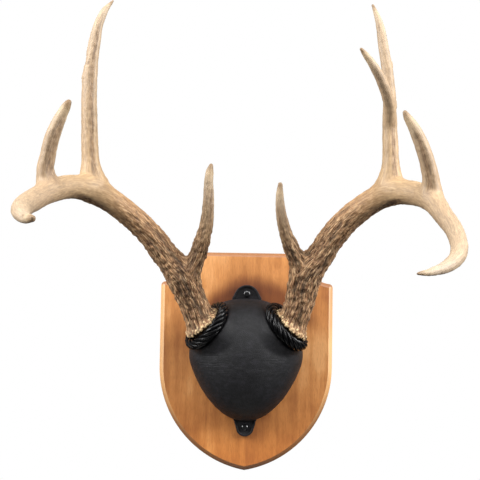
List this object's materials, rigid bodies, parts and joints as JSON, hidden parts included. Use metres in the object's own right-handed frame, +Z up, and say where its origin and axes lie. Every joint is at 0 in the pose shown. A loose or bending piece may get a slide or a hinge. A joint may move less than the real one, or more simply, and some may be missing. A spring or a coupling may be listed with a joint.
{
  "type": "antler mounting plaque",
  "caption": "Wall-hung wooden shield carrying a pair of branched deer antlers in a black moulded skull cover with twisted cord at the bases.",
  "frame": {"origin": "on the plaque's flat back face, at the middle of its width and height, where it meets the wall", "axes": "+X to the viewer's right, +Z up, +Y into the wall; the antlers sweep out towards -Y"},
  "size_m": [0.4587, 0.3695, 0.5283],
  "materials": {
    "cherry": "clear satin",
    "moulding": "leather-grained",
    "screw": "gloss black",
    "cord": "satin twisted yarn",
    "antler": "natural bone, matt"
  },
  "bodies": {
    "root": {"plaque": "cherry", "skull_cover": "moulding", "upper_screw": "screw", "lower_screw": "screw", "left_rope": "cord", "right_rope": "cord", "left_antler": "antler", "right_antler": "antler"}
  },
  "joints": []
}
